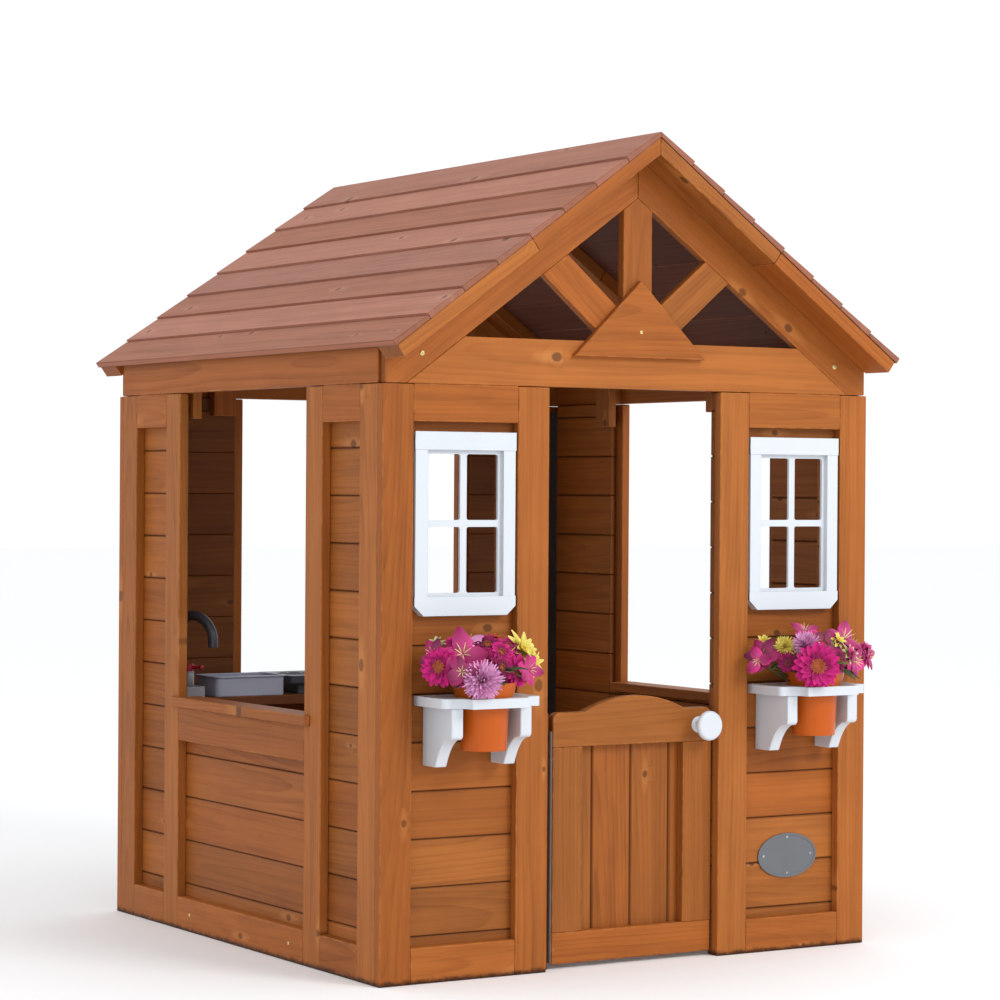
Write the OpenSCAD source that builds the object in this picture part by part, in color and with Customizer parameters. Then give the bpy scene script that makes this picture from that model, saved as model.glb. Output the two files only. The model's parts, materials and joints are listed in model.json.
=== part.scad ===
// Timber garden playhouse with a gabled board roof, a half door, window boxes and a play kitchen.
// Millimetres, +Z up, front towards -Y. The origin is on the ground under the middle of the whole.

/* [House] */
// Width over the front corner posts
house_w = 966; // [900:2:1100]
// Depth over the front and back corner posts
house_d = 986; // [940:2:1120]
// Height of the wall frames
wall_h = 952; // [930:2:1000]
// Height of the ridge
ridge_h = 1372; // [1340:2:1480]

/* [Timber] */
// Thickness of posts, rails and trusses
frame_t = 17; // [15:0.5:20]
// Thickness of the wall boards
board_t = 12; // [9:0.5:14]
// Width of a side or corner post
post_w = 57; // [50:1:62]
// Width of the two posts beside the door
door_post_w = 60; // [55:1:64]
// Height one wall board covers
board_pitch = 77; // [70:0.5:84]
// Gap between neighbouring boards
board_gap = 0.6; // [0.5:0.1:1.5]
// Depth of the deep roof timbers
truss_w = 77; // [70:1:84]

/* [Openings] */
// Width of the doorway
doorway_w = 342; // [330:2:360]
// Length of the opening in each side wall and the back wall
opening_l = 474; // [440:2:500]
// Height of the top of the sills
sill_top = 412; // [400:1:440]

/* [Roof] */
// Overhang beyond the front and back walls
roof_over = 66; // [50:1:90]
// Overhang beyond the side walls
eave_over = 20; // [16:1:40]
// Slope of the roof, degrees
roof_angle = 35.7; // [33:0.1:38]
// Number of boards on each slope, an even number
roof_boards = 8; // [6:2:10]
// Thickness of the battens under the boards
batten_t = 23; // [18:1:26]

/* [Windows] */
// Width of a window casing
window_w = 186; // [170:2:190]
// Bottom of a window
window_bottom = 583; // [570:1:600]
// Top of a window
window_top = 876; // [860:1:885]

/* [Flower shelves] */
// Width of a shelf
shelf_w = 181; // [172:1:186]
// Depth of a shelf
shelf_d = 122; // [120:1:130]
// Height of a shelf's top
shelf_top = 456.5; // [452:0.5:460]
// Radius of a bouquet
bouquet_r = 97; // [80:1:100]

/* [Door] */
// Bottom of the door above the ground
door_bottom = 8; // [5:1:12]
// Height of the door's shoulders
door_top = 420; // [405:1:430]
// Rise of the arch above the shoulders
door_arch = 24; // [10:1:30]
// Gap beside the free edge of the door
door_gap = 2.8; // [2.5:0.1:4]

/* [Kitchen] */
// Height of the counter
counter_top = 404; // [380:1:410]
// Depth of the counter
counter_d = 163; // [155:1:180]
// Length of the counter
counter_l = 513; // [480:1:540]

/* [Hidden] */

$fn = 48;
eps = 0.01;
cedar = "peru";
roof_red = "rosybrown";
side_signs = [-1, 1];

// Walls: planes seen from the middle of the house
half_w = house_w / 2;
half_d = house_d / 2;
face_back = half_d - frame_t;        // back of a front or back post
side_back = half_w - frame_t;        // back of a side post
boards_back = face_back - board_t;   // inner face of the front and back boards
side_boards_back = side_back - board_t;
post_h = wall_h - 1;                 // posts stop just short of the roof timbers
door_half = doorway_w / 2;
panel_in = door_half + door_post_w;  // inner edge of a front panel
panel_out = half_w - post_w;
panel_x = (panel_in + panel_out) / 2;
rail_h = 58;                         // bottom rails
top_rail_h = 60;
sill_rail_h = 60;
sill_t = 17;
sill_nose = 8;
sill_ear = 21;                       // how far a sill's nose runs past the opening
sill_corner = 5;
sill_depth = 43;                     // from the posts' face to the inner edge of a sill
sill_bottom = sill_top - sill_t;
open_half = opening_l / 2;
jamb_out = open_half + post_w;       // far side of the posts beside an opening
corner_in = half_w - post_w;
bare_post = 22;                      // strip of a post that the boards leave bare
corner_bare = 22;
front_seam = 73;                     // first joint between boards, front wall
side_seam = 80;                      // first joint between boards, the other walls

// Roof: a slope is worked out in its own plane, s down the slope and n out of it
eave_x = half_w + eave_over;
thin_n = 7.5;                        // upper edge of a wedge-shaped board
thick_n = 11;                        // lower edge of a wedge-shaped board
apex_z = ridge_h - thin_n / cos(roof_angle);
slope_l = (eave_x - thick_n * sin(roof_angle)) / cos(roof_angle);
board_s = slope_l / roof_boards;
roof_half_d = half_d + roof_over;
rake_inset = 1;                      // rake faces sit just behind the board ends
rake_l = slope_l - 4;
batten_end_x = side_back - 2;
batten_w = 57;

// Trusses
truss_half = half_w - 5;
rafter_drop = truss_w / cos(roof_angle);
inner_apex = apex_z - rafter_drop;
chord_top = wall_h + truss_w;
web_w = 57;
web_t = 17;
strut_angle = 40;
strut_foot_z = 1016;
plaque_half = 131;
plaque_h = 128;
plaque_z = 1003;
plaque_t = 12;

// Windows
casing_w = 22;
cap_h = 29;
window_sill_h = 30;
casing_t = 16;                       // stands proud of the wall boards
sash_w = 6;
sash_front = 8;                      // faces of the pane bars, in front of the wall boards
sash_back = 3;
muntin_w = 11;
mullion_w = 12;
sill_chamfer = 15.5;
pane_r = 4;
hole_half = 70;
hole_first = 7;                      // the hole begins above this many boards

// Flower shelves and pots
shelf_t = 15.5;
shelf_gap = 0.5;
shelf_end_d = 94;                    // how far the straight ends reach
shelf_front_half = 54;
planter_shift = 5;                   // both shelves sit a little right of the panels' middle
bracket_t = 21;
bracket_h = 96;
bracket_d = 92;
bracket_in = 74;
pot_y = 67;                          // pot centre in front of the boards
pot_low_r = 36;
pot_hole_r = 42;
pot_neck_r = 40.5;
pot_collar_r = 46.5;
pot_rim_r = 52.5;
pot_wall = 2.5;
pot_h = 108;
seat_gap = 0.1;
pot_bottom = 372;
bouquet_top = 568;
bouquet_flat = 1;                    // the bouquet stops short of the posts' face

// Door
hinge_r = 2.4;
pin_r = 1.1;
bore_r = 1.15;
leaf_t = 1;
leaf_d = 18;
leaf_tongue = 2.8;                   // a leaf narrows to its own knuckles this far behind the pin
knuckles = 9;
hinge_low = 10;
hinge_high = 390;
hinge_gap = 18.8;                    // from the doorway's edge to the pin
pin_x = hinge_gap - door_half;
pin_y = 3 - face_back;
door_left = pin_x + hinge_r;
door_right = door_half - door_gap;
door_x = (door_left + door_right) / 2;
stile_w = 58;
door_front = -face_back;
door_frame_back = door_front + frame_t;
door_back = door_frame_back + board_t;
door_rail_top = 363;
door_rail_low = 60;
door_seam = -61.5;                    // first joint between the door's boards
arch_half = 101;
arch_x = 3;                          // the arch sits this far right of the door's middle
knob_z = 391;
knob_r = 25;
knob_reach = 38;
knob_edge = 27;                      // from the door's free edge to the knob's axis

// Kitchen, placed from the inside of the left and back walls
wall_clear = 0.3;
fit = 0.05;
counter_x0 = wall_clear - side_boards_back;
counter_x1 = counter_x0 + counter_l;
counter_y1 = boards_back - wall_clear;
counter_y0 = counter_y1 - counter_d;
counter_t = 17;
sink_w = 148;
sink_d = 96;
sink_h = 37;
sink_x = -304;
sink_y = 347.5;
tap_x = -420;
tap_y = 325;
tap_base_h = 20;
stem_r = 9.5;
spindle_r = 4;
spindle_seat = 4;
spout_y = 388;
spout_r = 9;
spout_bend = 47.5;
spout_top = 560;
spout_turn = -67.7;
spout_seat = 6;
stove_x = -136;
stove_y = 375;
stove_w = 168;
stove_d = 140;

// The whole, from the bouquets to the back of the roof, is centred on the origin
front_most = face_back + pot_y + bouquet_r;
house_y = (front_most - roof_half_d) / 2;

// ---------------------------------------------------------------- shared shapes

module placed(tint) {
    color(tint) translate([0, house_y, 0]) children();
}

// A box between two x, two y and two z values
module block(x, y, z) {
    translate([min(x), min(y), min(z)])
        cube([abs(x[1] - x[0]), abs(y[1] - y[0]), abs(z[1] - z[0])]);
}

// A polygon in the XZ plane, thick along Y from y0 to y1
module upright(y0, y1, points) {
    translate([0, y1, 0]) rotate([90, 0, 0]) linear_extrude(y1 - y0) polygon(points);
}

// A polygon in the YZ plane, thick along X from x0 to x1
module crosswise(x0, x1, points) {
    translate([x0, 0, 0]) rotate([90, 0, 90]) linear_extrude(x1 - x0) polygon(points);
}

module both_sides() {
    for (side = side_signs)
        scale([side, 1, 1]) children();
}

// Points of an arc round c, from angle a0 to a1
function arc(c, r, a0, a1, steps = 10) =
    [for (i = [0:steps]) c + r * [cos(a0 + (a1 - a0) * i / steps), sin(a0 + (a1 - a0) * i / steps)]];

function oval(a, b, steps = 64) =
    [for (i = [0:steps - 1]) [a * cos(360 * i / steps), b * sin(360 * i / steps)]];

// A point of the right-hand slope, s down from the ridge and n out of the boards' underside
function on_slope(s, n) = [s * cos(roof_angle) + n * sin(roof_angle),
    apex_z - s * sin(roof_angle) + n * cos(roof_angle)];

// Height of the rafters' lower edge, and of a strut's edge, at x
function rafter_low(x) = inner_apex - x * tan(roof_angle);
function strut_edge(x, side) = strut_foot_z + x * tan(strut_angle) + side * web_w / 2 / cos(strut_angle);
// Where a strut's edge meets the rafter, and where it meets the height z
function strut_at_rafter(side) =
    (inner_apex - strut_foot_z - side * web_w / 2 / cos(strut_angle)) / (tan(roof_angle) + tan(strut_angle));
function strut_at_height(z, side) =
    (z - strut_foot_z - side * web_w / 2 / cos(strut_angle)) / tan(strut_angle);

// A wall of boards between z0 and z1 with its first joint at seam, u along the wall
function courses(seam, z0, z1) = let (n = ceil((z1 - seam) / board_pitch))
    [for (i = [0:n]) let (low = i == 0 ? z0 : max(z0, seam + (i - 1) * board_pitch + board_gap))
        let (high = min(z1, seam + i * board_pitch)) if (high > low + board_gap) [low, high]];

// ---------------------------------------------------------------- front wall

module front_corner_posts() {
    placed(cedar) both_sides() block([panel_out, half_w], [-half_d, -face_back], [0, post_h]);
}

module front_door_posts() {
    placed(cedar) both_sides() block([door_half, panel_in], [-half_d, -face_back], [0, post_h]);
}

module front_rails() {
    placed(cedar) both_sides() {
        block([panel_in, panel_out], [-half_d, -face_back], [0, rail_h]);
        block([panel_in, panel_out], [-half_d, -face_back], [wall_h - top_rail_h, wall_h]);
    }
}

module front_boards(side) {
    hole_low = front_seam + hole_first * board_pitch;
    placed(cedar) scale([side, 1, 1]) difference() {
        for (z = courses(front_seam, 0, wall_h))
            block([door_half, half_w - frame_t - corner_bare], [-face_back, -boards_back], z);
        block([panel_x - hole_half, panel_x + hole_half], [-half_d, 0],
            [hole_low, hole_low + 3 * board_pitch + board_gap]);
    }
}

module front_left_boards() { front_boards(-1); }
module front_right_boards() { front_boards(1); }

// ---------------------------------------------------------------- side and back walls

// The frame of a wall with an opening, in the XZ plane with its outer face at y = 0.
// first and last are where its corner posts begin and end.
module opening_posts(corner0, corner1) {
    both_sides() {
        block([open_half, jamb_out], [0, frame_t], [0, post_h]);
        block([corner0, corner1], [0, frame_t], [0, post_h]);
    }
}

module opening_rails(corner0) {
    both_sides() {
        block([jamb_out, corner0], [0, frame_t], [0, rail_h]);
        block([jamb_out, corner0], [0, frame_t], [wall_h - top_rail_h, wall_h]);
    }
    block([-open_half, open_half], [0, frame_t], [0, rail_h]);
    block([-open_half, open_half], [0, frame_t], [sill_bottom - sill_rail_h, sill_bottom]);
}

module opening_boards(far) {
    near = open_half + bare_post;
    both_sides() for (z = courses(side_seam, 0, wall_h))
        block([near, far], [frame_t, frame_t + board_t], z);
    for (z = courses(side_seam, 0, sill_bottom))
        block([board_gap - near, near - board_gap], [frame_t, frame_t + board_t], z);
}

module opening_sill(depth) {
    nose = open_half + sill_ear;
    block([-open_half, open_half], [-eps, depth], [sill_bottom, sill_top]);
    translate([0, 0, sill_bottom]) linear_extrude(sill_t) polygon([[-nose, 0], [nose, 0],
        [nose, sill_corner - sill_nose], [nose - sill_corner, -sill_nose],
        [sill_corner - nose, -sill_nose], [-nose, sill_corner - sill_nose]]);
}

// Puts a wall drawn in the XZ plane on the left (-1) or right (1) side
module on_side(side) {
    rotate([0, 0, side * 90]) translate([0, -half_w, 0]) children();
}

module on_back() {
    rotate([0, 0, 180]) translate([0, -half_d, 0]) children();
}

side_corner0 = face_back - post_w;
module side_posts(side) {
    placed(cedar) on_side(side) opening_posts(side_corner0, face_back);
}

module left_side_posts() { side_posts(-1); }
module right_side_posts() { side_posts(1); }

module back_posts() {
    placed(cedar) on_back() opening_posts(corner_in, half_w);
}

module side_rails() {
    placed(cedar) for (side = side_signs)
        on_side(side) opening_rails(side_corner0);
}

module back_rails() {
    placed(cedar) on_back() opening_rails(corner_in);
}

module side_boards(side) {
    placed(cedar) on_side(side) opening_boards(face_back - corner_bare);
}

module left_side_boards() { side_boards(-1); }
module right_side_boards() { side_boards(1); }

module back_boards() {
    placed(cedar) on_back() opening_boards(side_back - corner_bare);
}

module sills() {
    placed(cedar) {
        for (side = side_signs)
            on_side(side) opening_sill(sill_depth);
        on_back() opening_sill(frame_t + board_t);
    }
}

// The walls fold flat for packing on a strip hinge in each inner corner
module corner_hinges() {
    leaf_w = 20;
    leaf_n = 2;
    hinge_z = [10, 939];
    placed("black") for (end = side_signs)
        scale([1, end, 1]) both_sides() {
            block([side_back - leaf_w, side_back], [face_back - leaf_n, face_back], hinge_z);
            block([side_back - leaf_n, side_back], [face_back - leaf_w, face_back - leaf_n + eps], hinge_z);
        }
}

// ---------------------------------------------------------------- roof timbers

module chord(y0, y1) {
    low_x = (inner_apex - wall_h) / tan(roof_angle);
    high_x = (inner_apex - chord_top) / tan(roof_angle);
    upright(y0, y1, [[-low_x, wall_h], [low_x, wall_h], [high_x, chord_top], [-high_x, chord_top]]);
}

module rafters(y0, y1) {
    low_x = (inner_apex - wall_h) / tan(roof_angle);
    meet = 0.2;                      // joint between the two rafters
    both_sides() upright(y0, y1, [[meet, apex_z - meet * tan(roof_angle)], [meet, rafter_low(meet)],
        [low_x, wall_h], [truss_half, wall_h], [truss_half, apex_z - truss_half * tan(roof_angle)]]);
}

module king_post(y0, y1) {
    half = web_w / 2;
    upright(y0, y1, [[-half, chord_top], [half, chord_top], [half, rafter_low(half)],
        [0, inner_apex], [-half, rafter_low(half)]]);
}

module struts(y0, y1) {
    half = web_w / 2;
    top_in = strut_at_rafter(1);
    top_out = strut_at_rafter(-1);
    both_sides() upright(y0, y1, [[half, chord_top], [strut_at_height(chord_top, -1), chord_top],
        [top_out, rafter_low(top_out)], [top_in, rafter_low(top_in)], [half, strut_edge(half, 1)]]);
}

module front_chord() { placed(cedar) chord(-half_d, -face_back); }
module front_rafters() { placed(cedar) rafters(-half_d, -face_back); }
module front_king_post() { placed(cedar) king_post(-face_back - web_t, -face_back); }
module front_struts() { placed(cedar) struts(-face_back - web_t, -face_back); }
module rear_chord() { placed(cedar) chord(face_back, half_d); }
module rear_rafters() { placed(cedar) rafters(face_back, half_d); }

module rear_web() {
    placed(cedar) {
        king_post(face_back, face_back + web_t);
        struts_gap(face_back, face_back + web_t);
    }
}

// Struts a hair clear of the king post, so that the three stay separate pieces
module struts_gap(y0, y1) {
    difference() {
        struts(y0, y1);
        block([-web_w / 2 - board_gap, web_w / 2 + board_gap], [y0 - 1, y1 + 1], [chord_top, ridge_h]);
    }
}

module gable_plaque() {
    placed(cedar) upright(-half_d - plaque_t, -half_d,
        [[-plaque_half, plaque_z], [plaque_half, plaque_z], [0, plaque_z + plaque_h]]);
}

// Plates over the side walls, bevelled to the roof's slope
module side_plates() {
    placed(cedar) both_sides() upright(-face_back, face_back, [[side_back, wall_h], [half_w, wall_h],
        [half_w, apex_z - half_w * tan(roof_angle)], [side_back, apex_z - side_back * tan(roof_angle)]]);
}

// ---------------------------------------------------------------- roof covering

// Section of board i, a wedge whose thick lower edge stands proud of the board below it
function roof_section(i) = let (s0 = i * board_s + board_gap, s1 = (i + 1) * board_s, low = seat_gap)
    concat(i == 0 ? [[-low * tan(roof_angle), low], [-thin_n * tan(roof_angle), thin_n]]
            : [[s0, low], [s0, thin_n]],
        [[s1, thick_n], [s1, low]]);

// Four boards screwed to their battens make a panel; two panels cover a slope
module roof_panel(side, first) {
    placed(roof_red) scale([side, 1, 1]) for (i = [first:first + roof_boards / 2 - 1])
        upright(-roof_half_d, roof_half_d, [for (p = roof_section(i)) on_slope(p[0], p[1])]);
}

module roof_left_upper() { roof_panel(-1, 0); }
module roof_left_lower() { roof_panel(-1, roof_boards / 2); }
module roof_right_upper() { roof_panel(1, 0); }
module roof_right_lower() { roof_panel(1, roof_boards / 2); }

// A batten under the boards from s0 to s1, the top one cut upright at the ridge
module batten(y0, y1, s0, s1) {
    top = s0 == 0 ? [[0, 0], [batten_t * tan(roof_angle), -batten_t]] : [[s0, 0], [s0, -batten_t]];
    section = concat(top, [[s1, -batten_t], [s1, 0]]);
    upright(y0, y1, [for (p = section) on_slope(p[0], p[1])]);
}

module batten_pair(y0, y1, length) {
    middle = rake_l / 2;
    both_sides() translate([board_gap / 2, 0, -board_gap / 2 * tan(roof_angle)]) {
        batten(y0, y1, 0, middle);
        batten(y0, y1, middle + board_gap, length);
    }
}

module roof_rakes() {
    placed(cedar) {
        batten_pair(-roof_half_d + rake_inset, -half_d, rake_l);
        batten_pair(half_d, roof_half_d - rake_inset, rake_l);
    }
}

module roof_battens() {
    length = batten_end_x / cos(roof_angle);
    placed(cedar) {
        batten_pair(-face_back, -face_back + batten_w, length);
        batten_pair(-batten_w / 2, batten_w / 2, length);
        batten_pair(face_back - batten_w, face_back, length);
    }
}

// Cleats that tie the roof timbers to the walls. Drawn with the wall's boards at x = 0 and the
// back of its posts at x = board_t; the upper part fills the boards' thickness.
module cleat(width, low, high) {
    upright(-width / 2, width / 2, [[-frame_t, low], [0, low], [0, wall_h], [board_t, wall_h],
        [board_t, high], [-frame_t, high]]);
}

module roof_cleats() {
    cleat_w = 46;
    gable_low = 918;
    side_low = 907;
    side_high = 1000;
    side_cleat_y = 265.5;
    door_cleat_x = 195;
    placed(cedar) both_sides() {
        for (y = [-side_cleat_y, side_cleat_y])
            translate([side_boards_back, y, 0]) cleat(cleat_w, side_low, side_high);
        translate([side_cleat_y + cleat_w / 2, boards_back, 0]) rotate([0, 0, 90])
            cleat(cleat_w, gable_low, chord_top);
        translate([door_cleat_x, -boards_back, 0]) rotate([0, 0, -90])
            cleat(cleat_w, gable_low, chord_top);
    }
}

// ---------------------------------------------------------------- windows

module round_square(w, h, r) {
    square([w - 2 * r, h], center = true);
    square([w, h - 2 * r], center = true);
    for (x = side_signs, y = side_signs)
        translate([x * (w / 2 - r), y * (h / 2 - r)]) circle(r);
}

// Extrudes a drawing made in x and z, from depth y0 to y1
module face_on(y0, y1) {
    translate([0, y1, 0]) rotate([90, 0, 0]) linear_extrude(y1 - y0) children();
}

module window(x) {
    outer = window_w / 2;
    inner = outer - casing_w;
    z0 = window_bottom;
    sill_z = z0 + window_sill_h;
    cap_z = window_top - cap_h;
    mid_z = (sill_z + cap_z) / 2;
    pane_w = inner - sash_w - mullion_w / 2;
    pane_h = (cap_z - sill_z) / 2 - sash_w - muntin_w / 2;
    placed("white") translate([x, -face_back, 0]) {
        face_on(-casing_t, 0) difference() {
            polygon([[-outer + sill_chamfer, z0], [outer - sill_chamfer, z0], [outer, z0 + sill_chamfer],
                [outer, window_top], [-outer, window_top], [-outer, z0 + sill_chamfer]]);
            translate([-inner, sill_z]) square([2 * inner, cap_z - sill_z]);
        }
        face_on(-sash_front, -sash_back) difference() {
            translate([-inner - eps, sill_z - eps]) square([2 * inner + 2 * eps, cap_z - sill_z + 2 * eps]);
            for (sx = side_signs, sz = side_signs)
                translate([sx * (mullion_w + pane_w) / 2, mid_z + sz * (muntin_w + pane_h) / 2])
                    round_square(pane_w, pane_h, pane_r);
        }
    }
}

module left_window() { window(-panel_x); }
module right_window() { window(panel_x); }

// ---------------------------------------------------------------- flower shelves

// Half of the shelf's outline, seen from above with the wall at y = 0 and the front at -shelf_d
function shelf_half() = let (w = shelf_w / 2, r = 9, hollow = 22, tip = 3) concat(
    [[w, 0]],
    arc([w - r, -shelf_end_d + r], r, 0, -90, 5),
    arc([shelf_front_half + hollow, -shelf_end_d - hollow], hollow, 90, 180, 8),
    arc([shelf_front_half - tip, -shelf_d + tip], tip, 0, -90, 3));

module planter_shelf(x) {
    half = shelf_half();
    back = -face_back - shelf_gap;
    placed("white") translate([x, back, shelf_top - shelf_t]) difference() {
        linear_extrude(shelf_t) polygon(concat(half,
            [for (i = [len(half) - 1:-1:0]) [-half[i][0], half[i][1]]]));
        translate([0, -pot_y + shelf_gap, -1]) cylinder(r = pot_hole_r, h = shelf_t + 2);
    }
}

module left_planter_shelf() { planter_shelf(-panel_x + planter_shift); }
module right_planter_shelf() { planter_shelf(panel_x + planter_shift); }

// Points of a curve from a to c that leans towards b
function bend(a, b, c, steps = 10) =
    [for (i = [0:steps]) let (t = i / steps) a * pow(1 - t, 2) + b * 2 * t * (1 - t) + c * pow(t, 2)];

// Side outline of a bracket: v out from the wall, z down from the shelf
function bracket_outline() = let (nose = 50, r = 8, foot = 41) concat(
    [[0, 0], [bracket_d, 0]],
    arc([bracket_d - r, -nose + r], r, 0, -90, 5),
    bend([80, -nose], [56, -57], [foot, -bracket_h]),
    [[0, -bracket_h]]);

module planter_brackets() {
    placed("white") for (wall = side_signs, side = side_signs)
        translate([wall * panel_x + planter_shift + side * (bracket_in - bracket_t / 2) - bracket_t / 2,
                -face_back - shelf_gap, 0])
            crosswise(0, bracket_t, [for (p = bracket_outline()) [-p[0], shelf_top - shelf_t + p[1]]]);
}

// The pot hangs in the shelf's hole by its flared collar
module pot(x) {
    wall = pot_wall;
    rim_z = pot_bottom + pot_h;
    seat_z = shelf_top + seat_gap;
    outside = [[pot_low_r, pot_bottom], [pot_neck_r, seat_z], [pot_collar_r, seat_z], [pot_rim_r, rim_z]];
    inside = [[pot_rim_r - wall, rim_z], [pot_collar_r - wall, seat_z + wall],
        [pot_neck_r - wall, seat_z + wall], [pot_low_r - wall, pot_bottom + wall], [0, pot_bottom + wall]];
    placed("darkorange") translate([x, -face_back - pot_y, 0])
        rotate_extrude() polygon(concat([[0, pot_bottom]], outside, inside));
}

module left_pot() { pot(-panel_x + planter_shift); }
module right_pot() { pot(panel_x + planter_shift); }

// Foam plug in the pot and a dome of flowers over it, flat where it meets the wall
module bouquet(x) {
    clear = 0.3;
    wall = pot_wall + clear;
    low = shelf_top + wall + seat_gap;
    rim_z = pot_bottom + pot_h;
    swell = 42;                      // radius of the dome's rounded side
    dome = arc([bouquet_r - swell, bouquet_top - swell], swell, -70, 90, 12);
    wall_y = -half_d - bouquet_flat;
    placed("mediumvioletred") intersection() {
        translate([x, -face_back - pot_y, 0]) rotate_extrude() polygon(concat(
            [[0, low], [pot_collar_r - wall, low], [pot_rim_r - wall, rim_z], [pot_rim_r - wall, rim_z + 1]],
            dome, [[0, bouquet_top]]));
        block([x - 2 * bouquet_r, x + 2 * bouquet_r], [wall_y - 3 * bouquet_r, wall_y], [0, house_w]);
    }
}

module left_bouquet() { bouquet(-panel_x + planter_shift); }
module right_bouquet() { bouquet(panel_x + planter_shift); }

// ---------------------------------------------------------------- half door

// Strip beside the left post that carries the hinge's fixed leaf
module hinge_post() {
    strip_front = 3;
    strip_back = 33;
    placed(cedar) block([-door_half, pin_x - hinge_r], [pin_y + strip_front, pin_y + strip_back],
        [0, door_top]);
}

// A packer behind the right panel and the lip that the closed door rests against
module door_stop() {
    lap_x = 13;
    stop_z = [60, 380];
    stop_x = door_half + 29;
    lip_t = 17;
    placed(cedar) {
        block([door_half + 1, stop_x], [-boards_back, door_back + wall_clear - seat_gap], stop_z);
        block([door_half - lap_x, stop_x], [door_back + wall_clear, door_back + wall_clear + lip_t], stop_z);
    }
}

module door_stiles() {
    placed(cedar) for (x = [door_left, door_right - stile_w])
        block([x, x + stile_w], [door_front, door_frame_back], [door_rail_low, door_rail_top]);
}

function door_head() = let (r = 12, c = 12, w = (door_right - door_left) / 2)
    let (rise_r = (pow(arch_half, 2) + pow(door_arch, 2)) / 2 / door_arch)
    let (half = asin(arch_half / rise_r))
    concat([[-w, door_rail_top], [w, door_rail_top]], arc([w - r, door_top - r], r, 0, 90, 5),
        arc([arch_x, door_top + door_arch - rise_r], rise_r, 90 - half, 90 + half, 24),
        arc([r - w, door_top - r], r, 90, 180, 5));

module door_top_rail() {
    placed(cedar) translate([door_x, 0, 0]) upright(door_front, door_frame_back, door_head());
}

module door_bottom_rail() {
    placed(cedar) block([door_left, door_right], [door_front, door_frame_back],
        [door_bottom, door_rail_low]);
}

module door_boards() {
    edge = 8;
    for (i = [0:3]) {
        x0 = max(door_left + edge, door_seam + (i - 1) * board_pitch);
        x1 = min(door_right - edge, door_seam + i * board_pitch);
        placed(cedar) block([x0, x1 - board_gap], [door_frame_back, door_back],
            [door_bottom + 20, door_rail_top + 30]);
    }
}

// A thin round knob on a short stem
module door_knob() {
    stem_r = 9;
    flare = 5;
    head_t = 9;
    rim_r = 2;
    dome_r = 6;
    back_z = knob_reach - head_t;
    placed("white") translate([door_right - knob_edge, door_front, knob_z]) rotate([90, 0, 0])
        rotate_extrude() polygon(concat([[0, 0], [stem_r + flare, 0], [stem_r, flare], [stem_r, back_z],
            [knob_r - rim_r, back_z]],
            arc([knob_r - rim_r, back_z + rim_r], rim_r, -90, 0, 4),
            arc([knob_r - dome_r, knob_reach - dome_r], dome_r, 0, 90, 6), [[0, knob_reach]]));
}

// A leaf of the strip hinge: knuckles on every second stretch, from the first or the second
module hinge_leaf(first, side) {
    gap = 0.2;
    knuckle_l = (hinge_high - hinge_low) / knuckles;
    inner_x = side * (hinge_r - leaf_t);
    outer_x = side * hinge_r;
    placed("silver") translate([pin_x, pin_y, 0]) difference() {
        union() {
            block([inner_x, outer_x], [leaf_tongue, leaf_d], [hinge_low, hinge_high]);
            for (i = [first:2:knuckles - 1]) {
                z0 = hinge_low + i * knuckle_l + gap;
                z1 = z0 + knuckle_l - 2 * gap;
                translate([0, 0, z0]) cylinder(r = hinge_r, h = z1 - z0);
                block([inner_x, outer_x], [0, leaf_tongue + eps], [z0, z1]);
            }
        }
        translate([0, 0, hinge_low - 1]) cylinder(r = bore_r, h = hinge_high - hinge_low + 2);
    }
}

module post_hinge_leaf() { hinge_leaf(0, -1); }
module door_hinge_leaf() { hinge_leaf(1, 1); }

module hinge_pin() {
    placed("silver") translate([pin_x, pin_y, hinge_low]) cylinder(r = pin_r, h = hinge_high - hinge_low);
}

// ---------------------------------------------------------------- play kitchen

module counter() {
    placed("saddlebrown") block([counter_x0, counter_x1], [counter_y0, counter_y1],
        [counter_top - counter_t, counter_top]);
}

// Ledgers on two walls and a bracket under the free end
module counter_supports() {
    ledger_h = 38;
    high = counter_top - counter_t;
    low = high - ledger_h;
    back = boards_back - frame_t;
    foot_z = high - 130;
    placed(cedar) {
        block([counter_x0, counter_x1], [back, boards_back], [low, high]);
        block([counter_x0, counter_x0 + frame_t], [counter_y0 + 5, back - board_gap], [low, high]);
        crosswise(counter_x1 - 25, counter_x1 - 25 + frame_t, [[back - board_gap, high],
            [counter_y0 + 12, high], [counter_y0 + 12, high - 20], [back - 30, foot_z],
            [back - board_gap, foot_z]]);
    }
}

// A shallow basin that stands on the counter
module sink() {
    corner = 14;
    floor_t = 4;
    lip = 4;
    lip_t = 3;
    wall = 6;
    placed("lightsteelblue") translate([sink_x, sink_y, counter_top]) difference() {
        union() {
            linear_extrude(sink_h) round_square(sink_w - 2 * lip, sink_d - 2 * lip, corner - lip);
            translate([0, 0, sink_h - lip_t]) linear_extrude(lip_t) round_square(sink_w, sink_d, corner);
        }
        translate([0, 0, floor_t]) linear_extrude(sink_h)
            round_square(sink_w - 2 * wall, sink_d - 2 * wall, corner - wall / 2);
    }
}

module faucet_base() {
    base_w = 46;
    base_d = 110;
    stem_h = 27;
    placed("gainsboro") translate([tap_x, 0, counter_top]) difference() {
        union() {
            translate([0, counter_y0 + base_d / 2, 0]) linear_extrude(tap_base_h)
                round_square(base_w, base_d, 6);
            translate([0, tap_y, tap_base_h - eps]) cylinder(r = stem_r, h = stem_h + eps);
        }
        translate([0, spout_y, spout_seat]) cylinder(r = spout_r + fit, h = tap_base_h);
        translate([0, tap_y, tap_base_h + spindle_seat]) cylinder(r = spindle_r + fit, h = stem_h);
    }
}

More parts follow.
